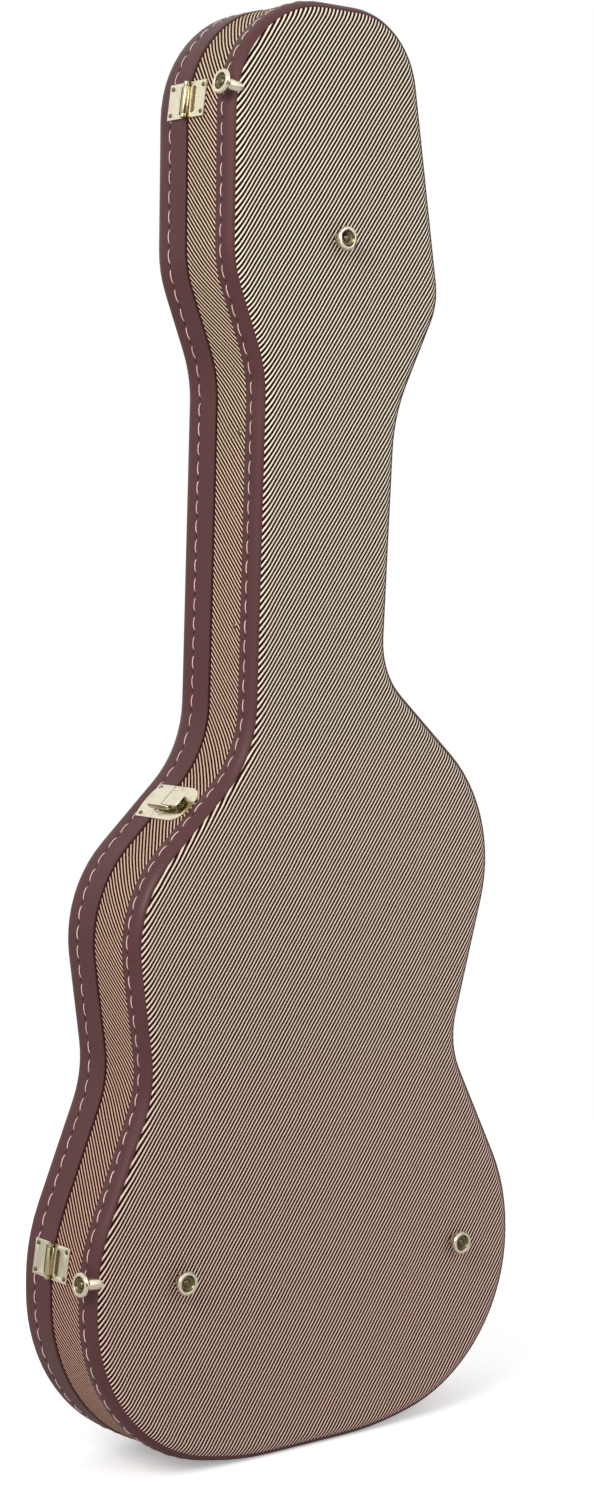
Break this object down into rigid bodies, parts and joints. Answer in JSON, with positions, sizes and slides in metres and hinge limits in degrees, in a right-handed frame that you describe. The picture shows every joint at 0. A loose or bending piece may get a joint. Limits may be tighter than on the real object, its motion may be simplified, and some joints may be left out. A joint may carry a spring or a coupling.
{
  "type": "electric guitar case",
  "caption": "Form-fit hard case for an electric guitar: tweed shell, stitched bindings, hinged lid, draw latches, feet and a folding handle.",
  "frame": {"origin": "middle of the flat of the tail, on the plane where the lid meets the body", "axes": "+Z from the tail to the head, +Y out through the lid, +X towards the handle"},
  "size_m": [0.3982, 0.105, 1.03],
  "materials": {
    "tweed": "woven tweed cloth glued over plywood",
    "leatherette": "dark red grained leatherette with pale stitching",
    "plush": "dark red plush over padding",
    "brass": "polished",
    "grip_leather": "smooth leather"
  },
  "bodies": {
    "case": {"body_rim": "tweed", "back_panel": "tweed", "body_binding": "leatherette", "dust_lip": "leatherette", "back_lining": "plush", "side_padding": "plush", "neck_dividers": "plush", "neck_cradle": "plush", "pocket_hinge": "brass", "pocket_hinge_pin": "brass", "hinge_body_leaves": "brass", "hinge_body_rivets": "brass", "latch_bases": "brass", "latch_lever_pins": "brass", "latch_base_rivets": "brass", "handle_brackets": "brass", "back_feet": "brass", "side_feet": "brass", "foot_screws": "brass", "wall_rivets": "brass"},
    "lid": {"lid_rim": "tweed", "lid_band": "leatherette", "lid_corner": "tweed", "lid_panel": "tweed", "lid_lining": "plush", "hinge_lid_leaves": "brass", "hinge_lid_rivets": "brass", "latch_strikes": "brass", "latch_strike_rivets": "brass"},
    "flap": {"pocket_flap": "plush", "pocket_pull_tab": "grip_leather"},
    "handle": {"handle_bails": "brass", "handle_grip": "grip_leather"},
    "head_lever": {"head_latch_lever": "brass", "head_latch_hook_pin": "brass"},
    "head_hook": {"head_latch_hook": "brass"},
    "hinge_side_lever": {"hinge_side_latch_lever": "brass", "hinge_side_latch_hook_pin": "brass"},
    "hinge_side_hook": {"hinge_side_latch_hook": "brass"},
    "shoulder_lever": {"shoulder_latch_lever": "brass", "shoulder_latch_hook_pin": "brass"},
    "shoulder_hook": {"shoulder_latch_hook": "brass"},
    "waist_lever": {"waist_latch_lever": "brass", "waist_latch_hook_pin": "brass"},
    "waist_hook": {"waist_latch_hook": "brass"}
  },
  "joints": [
    {"name": "lid_hinge", "type": "hinge", "parent": "case", "child": "lid", "pos_m": [-0.19545, 0, 0.15619], "axis": [0.1298, 0, 0.9915], "range_deg": [0, 105]},
    {"name": "handle_swing", "type": "hinge", "parent": "case", "child": "handle", "pos_m": [0.15844, -0.0173, 0.34874], "axis": [-0.2651, 0, -0.9642], "range_deg": [0, 124]},
    {"name": "pocket_flap", "type": "hinge", "parent": "case", "child": "flap", "pos_m": [0, -0.021, 0.7242], "axis": [1, 0, 0], "range_deg": [0, 90]},
    {"name": "latch_head", "type": "hinge", "parent": "case", "child": "head_lever", "pos_m": [0.09756, -0.011, 0.90566], "axis": [-0.165, 0, 0.9863], "range_deg": [0, 95]},
    {"name": "hook_head", "type": "hinge", "parent": "head_lever", "child": "head_hook", "pos_m": [0.09825, -0.016, 0.90577], "axis": [-0.165, 0, 0.9863], "range_deg": [-123.5, 0]},
    {"name": "latch_hinge_side", "type": "hinge", "parent": "case", "child": "hinge_side_lever", "pos_m": [-0.1044, -0.011, 0.47269], "axis": [-0.7287, 0, -0.6849], "range_deg": [0, 95]},
    {"name": "hook_hinge_side", "type": "hinge", "parent": "hinge_side_lever", "child": "hinge_side_hook", "pos_m": [-0.10488, -0.016, 0.4732], "axis": [-0.7287, 0, -0.6849], "range_deg": [-123.5, 0]},
    {"name": "latch_shoulder", "type": "hinge", "parent": "case", "child": "shoulder_lever", "pos_m": [0.1051, -0.011, 0.52478], "axis": [-0.7466, 0, 0.6653], "range_deg": [0, 95]},
    {"name": "hook_shoulder", "type": "hinge", "parent": "shoulder_lever", "child": "shoulder_hook", "pos_m": [0.10557, -0.016, 0.5253], "axis": [-0.7466, 0, 0.6653], "range_deg": [-123.5, 0]},
    {"name": "latch_waist", "type": "hinge", "parent": "case", "child": "waist_lever", "pos_m": [0.16393, -0.011, 0.22978], "axis": [-0.4688, 0, 0.8833], "range_deg": [0, 95]},
    {"name": "hook_waist", "type": "hinge", "parent": "waist_lever", "child": "waist_hook", "pos_m": [0.16454, -0.016, 0.23011], "axis": [-0.4688, 0, 0.8833], "range_deg": [-123.5, 0]}
  ],
  "couplings": [
    {"joint": "hook_head", "follows": "latch_head", "ratio": -1.3},
    {"joint": "hook_hinge_side", "follows": "latch_hinge_side", "ratio": -1.3},
    {"joint": "hook_shoulder", "follows": "latch_shoulder", "ratio": -1.3},
    {"joint": "hook_waist", "follows": "latch_waist", "ratio": -1.3}
  ]
}
